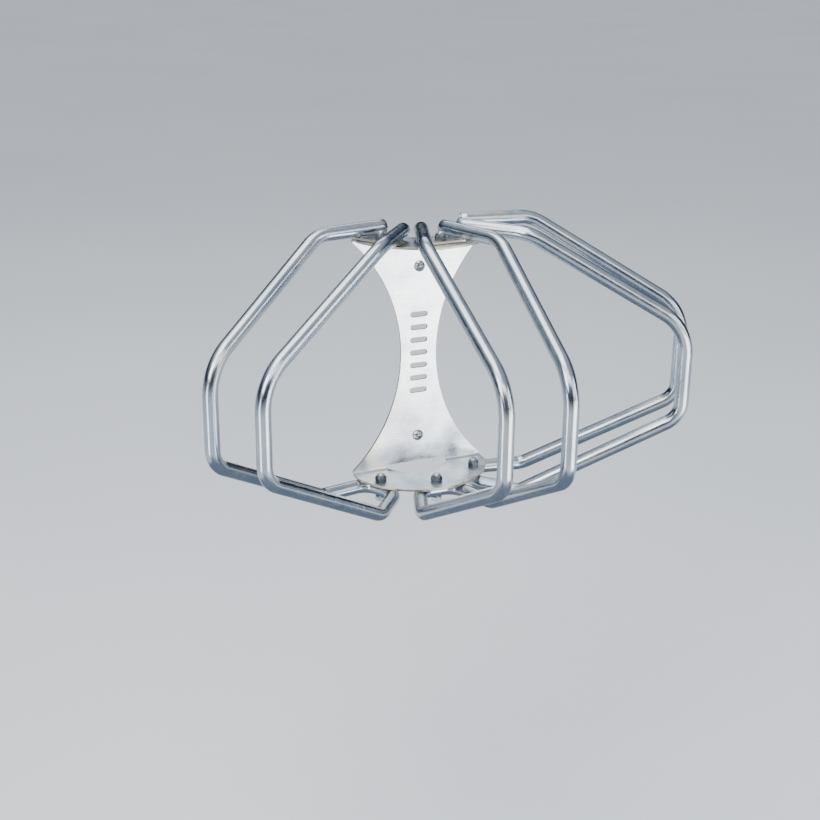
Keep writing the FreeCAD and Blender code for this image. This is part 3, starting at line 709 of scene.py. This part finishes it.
# %% [markdown]
# ## Weld beads
# Each yoke is welded to the two tube ends that lie on it. A bead is a thin tube along the seam,
# half sunk in both parts, whose radius swells and shrinks every 1.7 mm as the weld pool froze in
# ripples. It tapers to nothing at both ends.

# %% Beads along the seams of the yokes
RIPPLE = 1.7 * MM
BESIDE = 4.6 * MM
BEHIND = 11 * MM


def weld_bead(start, finish, radius):
    """A round bead from start to finish, whose radius is multiplied by its ripples,
    1 + 0.1 |sin(pi distance / RIPPLE)|, and by its ends, sqrt(1 - (2 share - 1)^10)."""
    share = np.linspace(0, 1, 90)
    length = np.linalg.norm(finish - start)
    ends = np.sqrt(np.clip(1 - (2 * share - 1) ** 10, 0, 1))
    ripple = 1 + 0.10 * np.abs(np.sin(math.pi * share * length / RIPPLE))
    angle = np.linspace(0, 2 * math.pi, 16, endpoint=False)
    ahead = (finish - start) / length
    level = np.cross([0, 0, 1], ahead)
    spoke = (np.cos(angle)[None, :, None] * level + np.sin(angle)[None, :, None] * [0, 0, 1])
    return start + (finish - start) * share[:, None, None] + (
        spoke * (radius * ends * ripple)[:, None, None])


def seam(sign, beside, first, last):
    """Ends of a bead beside a tube's lowest line, from first to last behind the pivot."""
    ends = []
    for back in (first, last):
        lateral = HALF_AT_PIVOT - splay * back + beside
        ends.append(np.array([sign * lateral, back, yoke_top + 0.5 * MM]))
    return ends


beads = []
for sign in (1, -1):
    beads.append(weld_bead(*seam(sign, -BESIDE, -BEHIND, BEHIND), 1.5 * MM))
    beads.append(weld_bead(*seam(sign, BESIDE, 0, BEHIND), 1.4 * MM))
beads = np.stack(beads)
for name in pivots:
    welds = piece_from(f"weld_beads_{name}", carried(beads, name),
                       grid_faces(*beads.shape[1:3], copies=len(beads)), 60)
    finish_piece(welds, weld_metal, f"{name}_holder", "plated_yoke")

# %% [markdown]
# ## The floor and a dark card
# Polished metal is only as good as what it mirrors, so this studio is built for its reflections.
# The floor is pale and wide. Under a bright object a product studio also lays a dark card, so that
# the underside of each tube has an edge against the floor. This card shows in reflections alone.

# %% Floor and card
FLOOR = -0.6
FLOOR_HALF = 60


def level_rectangle(name, left, right, front, back, height):
    """A level rectangle between two places along X and two along Y, all in metres."""
    mesh = bpy.data.meshes.new(name)
    mesh.from_pydata([(left, front, height), (right, front, height),
                      (right, back, height), (left, back, height)], [], [(0, 1, 2, 3)])
    rectangle = bpy.data.objects.new(name, mesh)
    bpy.context.scene.collection.objects.link(rectangle)
    return rectangle


floor = level_rectangle("studio_floor", -FLOOR_HALF, FLOOR_HALF, -FLOOR_HALF, FLOOR_HALF, FLOOR)
paint, tree, shader = new_material("matt_floor_paint", Roughness=0.75)
place = add(tree, "ShaderNodeTexCoord").outputs["Object"]
drift = add(tree, "ShaderNodeTexNoise", {"Vector": place, "Scale": per_mm(900), "Detail": 2.0})
tree.links.new(ramp(tree, drift.outputs["Fac"], (0.3, "#ccd1d7"), (0.7, "#d1d5da")),
               shader.inputs["Base Color"])
floor.data.materials.append(paint)

card = level_rectangle("dark_card", -0.75, 0.75, -0.85, 0.35, FLOOR + 5 * MM)
felt, tree, shader = new_material("blue_grey_felt", Roughness=0.9)
shader.inputs["Base Color"].default_value = linear("#677180")
card.data.materials.append(felt)
card.visible_camera = card.visible_shadow = card.visible_diffuse = False
print("floor at", FLOOR, "m and a card of", card.dimensions.to_tuple(2), "m")

# %% [markdown]
# ## Soft boxes
# A large soft box from the upper left gives the long highlight on every tube, and a tall strip at
# the right gives the second thin one. A low box in front stands where the bracket's flat face
# mirrors it, and a low strip at the left draws a line down each upright tube. A box above, one
# behind, one high in front and one at the right fill what is left between them. The boxes light
# the rack and show in its mirror, but the camera doesn't see them. A broad sun is the ceiling.

# %% Soft boxes
target = Vector((0, -0.15, 0))


def soft_box(name, position, width, height, brightness, colour, spread=180):
    """A rectangular area light that faces the rack: power = brightness x area x pi."""
    lamp = bpy.data.lights.new(name, "AREA")
    lamp.shape = "RECTANGLE"
    lamp.size, lamp.size_y = width, height
    lamp.energy = brightness * width * height * math.pi
    lamp.color = linear(colour)[:3]
    lamp.spread = math.radians(spread)
    box = bpy.data.objects.new(name, lamp)
    bpy.context.scene.collection.objects.link(box)
    facing = (target - Vector(position)).to_track_quat("-Z", "Y").to_matrix().to_4x4()
    box.matrix_world = Matrix.Translation(position) @ facing
    box.visible_camera = False
    print(name, "gives", round(lamp.energy, 2), "W")


soft_box("key_soft_box", (-2.2, -1.3, 1.5), 1.4, 1.4, 7.5, "#fffdf8")
soft_box("right_strip", (1.9, -1.6, 0.5), 0.3, 1.8, 8, "#f4f8ff")
soft_box("front_box", (0.48, -1.08, -0.24), 0.8, 0.66, 1.3, "#ffffff", spread=80)
soft_box("left_strip", (-1.15, -0.55, -0.2), 0.16, 0.75, 3, "#f8fbff", spread=100)
soft_box("top_soft_box", (-0.4, 0.1, 2.3), 2.2, 1.7, 4.0, "#ffffff")
soft_box("fill_box", (0.78, -1.6, 0.62), 1.1, 0.7, 2.7, "#fbfdff")
soft_box("high_front_box", (-0.1, -1.9, 1.5), 1.5, 0.6, 3.0, "#ffffff")
soft_box("back_soft_box", (0.8, 2.4, 1.9), 1.4, 1.0, 2.5, "#f4f8ff")
ceiling = bpy.data.lights.new("ceiling_light", "SUN")
ceiling.energy = 1.5
ceiling.angle = math.radians(50)
overhead = bpy.data.objects.new("ceiling_light", ceiling)
overhead.rotation_euler = (math.radians(20), math.radians(-24), 0)
bpy.context.scene.collection.objects.link(overhead)

# %% [markdown]
# ## The studio around it
# Between the boxes, the studio that the metal mirrors is dark just above the horizon and pale
# overhead, and that is what draws the dark line beside each highlight. To the camera itself the
# studio is a plain pale grey.

# %% A mirrored studio and a plain backdrop
world = bpy.data.worlds.new("studio")
bpy.context.scene.world = world
world.use_nodes = True
tree = world.node_tree
tree.nodes.clear()
direction = add(tree, "ShaderNodeTexCoord").outputs["Generated"]
upward = add(tree, "ShaderNodeSeparateXYZ", {"Vector": direction}).outputs["Z"]
share = add(tree, "ShaderNodeMapRange", {"Value": upward, "From Min": -1.0, "From Max": 1.0})
sky = ramp(tree, share.outputs["Result"], (0.47, "#8f98a6"), (0.51, "#222936"), (0.62, "#323d4f"),
           (0.74, "#8794a8"), (0.86, "#e4eaf3"), (1.0, "#ffffff"))
mirrored = add(tree, "ShaderNodeBackground", {"Color": sky, "Strength": 0.8})
seen = add(tree, "ShaderNodeBackground", {"Color": linear("#ccd3da"), "Strength": 0.9})
which = add(tree, "ShaderNodeLightPath").outputs["Is Camera Ray"]
both = add(tree, "ShaderNodeMixShader", {0: which, 1: mirrored.outputs["Background"],
                                         2: seen.outputs["Background"]})
add(tree, "ShaderNodeOutputWorld", {"Surface": both.outputs["Shader"]})

# %% [markdown]
# ## The camera
# The camera stands to the left of the rack and above it, about 1.75 m away, with a 60 mm lens. It
# is turned by a yaw towards the wall, a pitch down and a slight roll, and has no shift.

# %% The camera's place and its three angles
LENS = 59.81
PLACE = (-0.6801, -1.5256, 0.5425)
YAW, PITCH, ROLL = (math.radians(angle) for angle in (23.71, 20.45, -0.49))
forward = np.array([math.sin(YAW) * math.cos(PITCH), math.cos(YAW) * math.cos(PITCH),
                    -math.sin(PITCH)])
sideways = np.array([math.cos(YAW), -math.sin(YAW), 0])
down = np.cross(forward, sideways)
right = math.cos(ROLL) * sideways + math.sin(ROLL) * down
up = -(math.cos(ROLL) * down - math.sin(ROLL) * sideways)
view = bpy.data.cameras.new("view")
view.lens = LENS
view.sensor_width = 36
view.clip_start, view.clip_end = 0.05, 60
camera = bpy.data.objects.new("view", view)
bpy.context.scene.collection.objects.link(camera)
camera.matrix_world = Matrix.Translation(PLACE) @ Matrix(
    np.column_stack([right, up, -forward]).tolist()).to_4x4()
bpy.context.scene.camera = camera
print("camera", round(Vector(PLACE).length, 2), "m from the rack, lens", LENS, "mm")
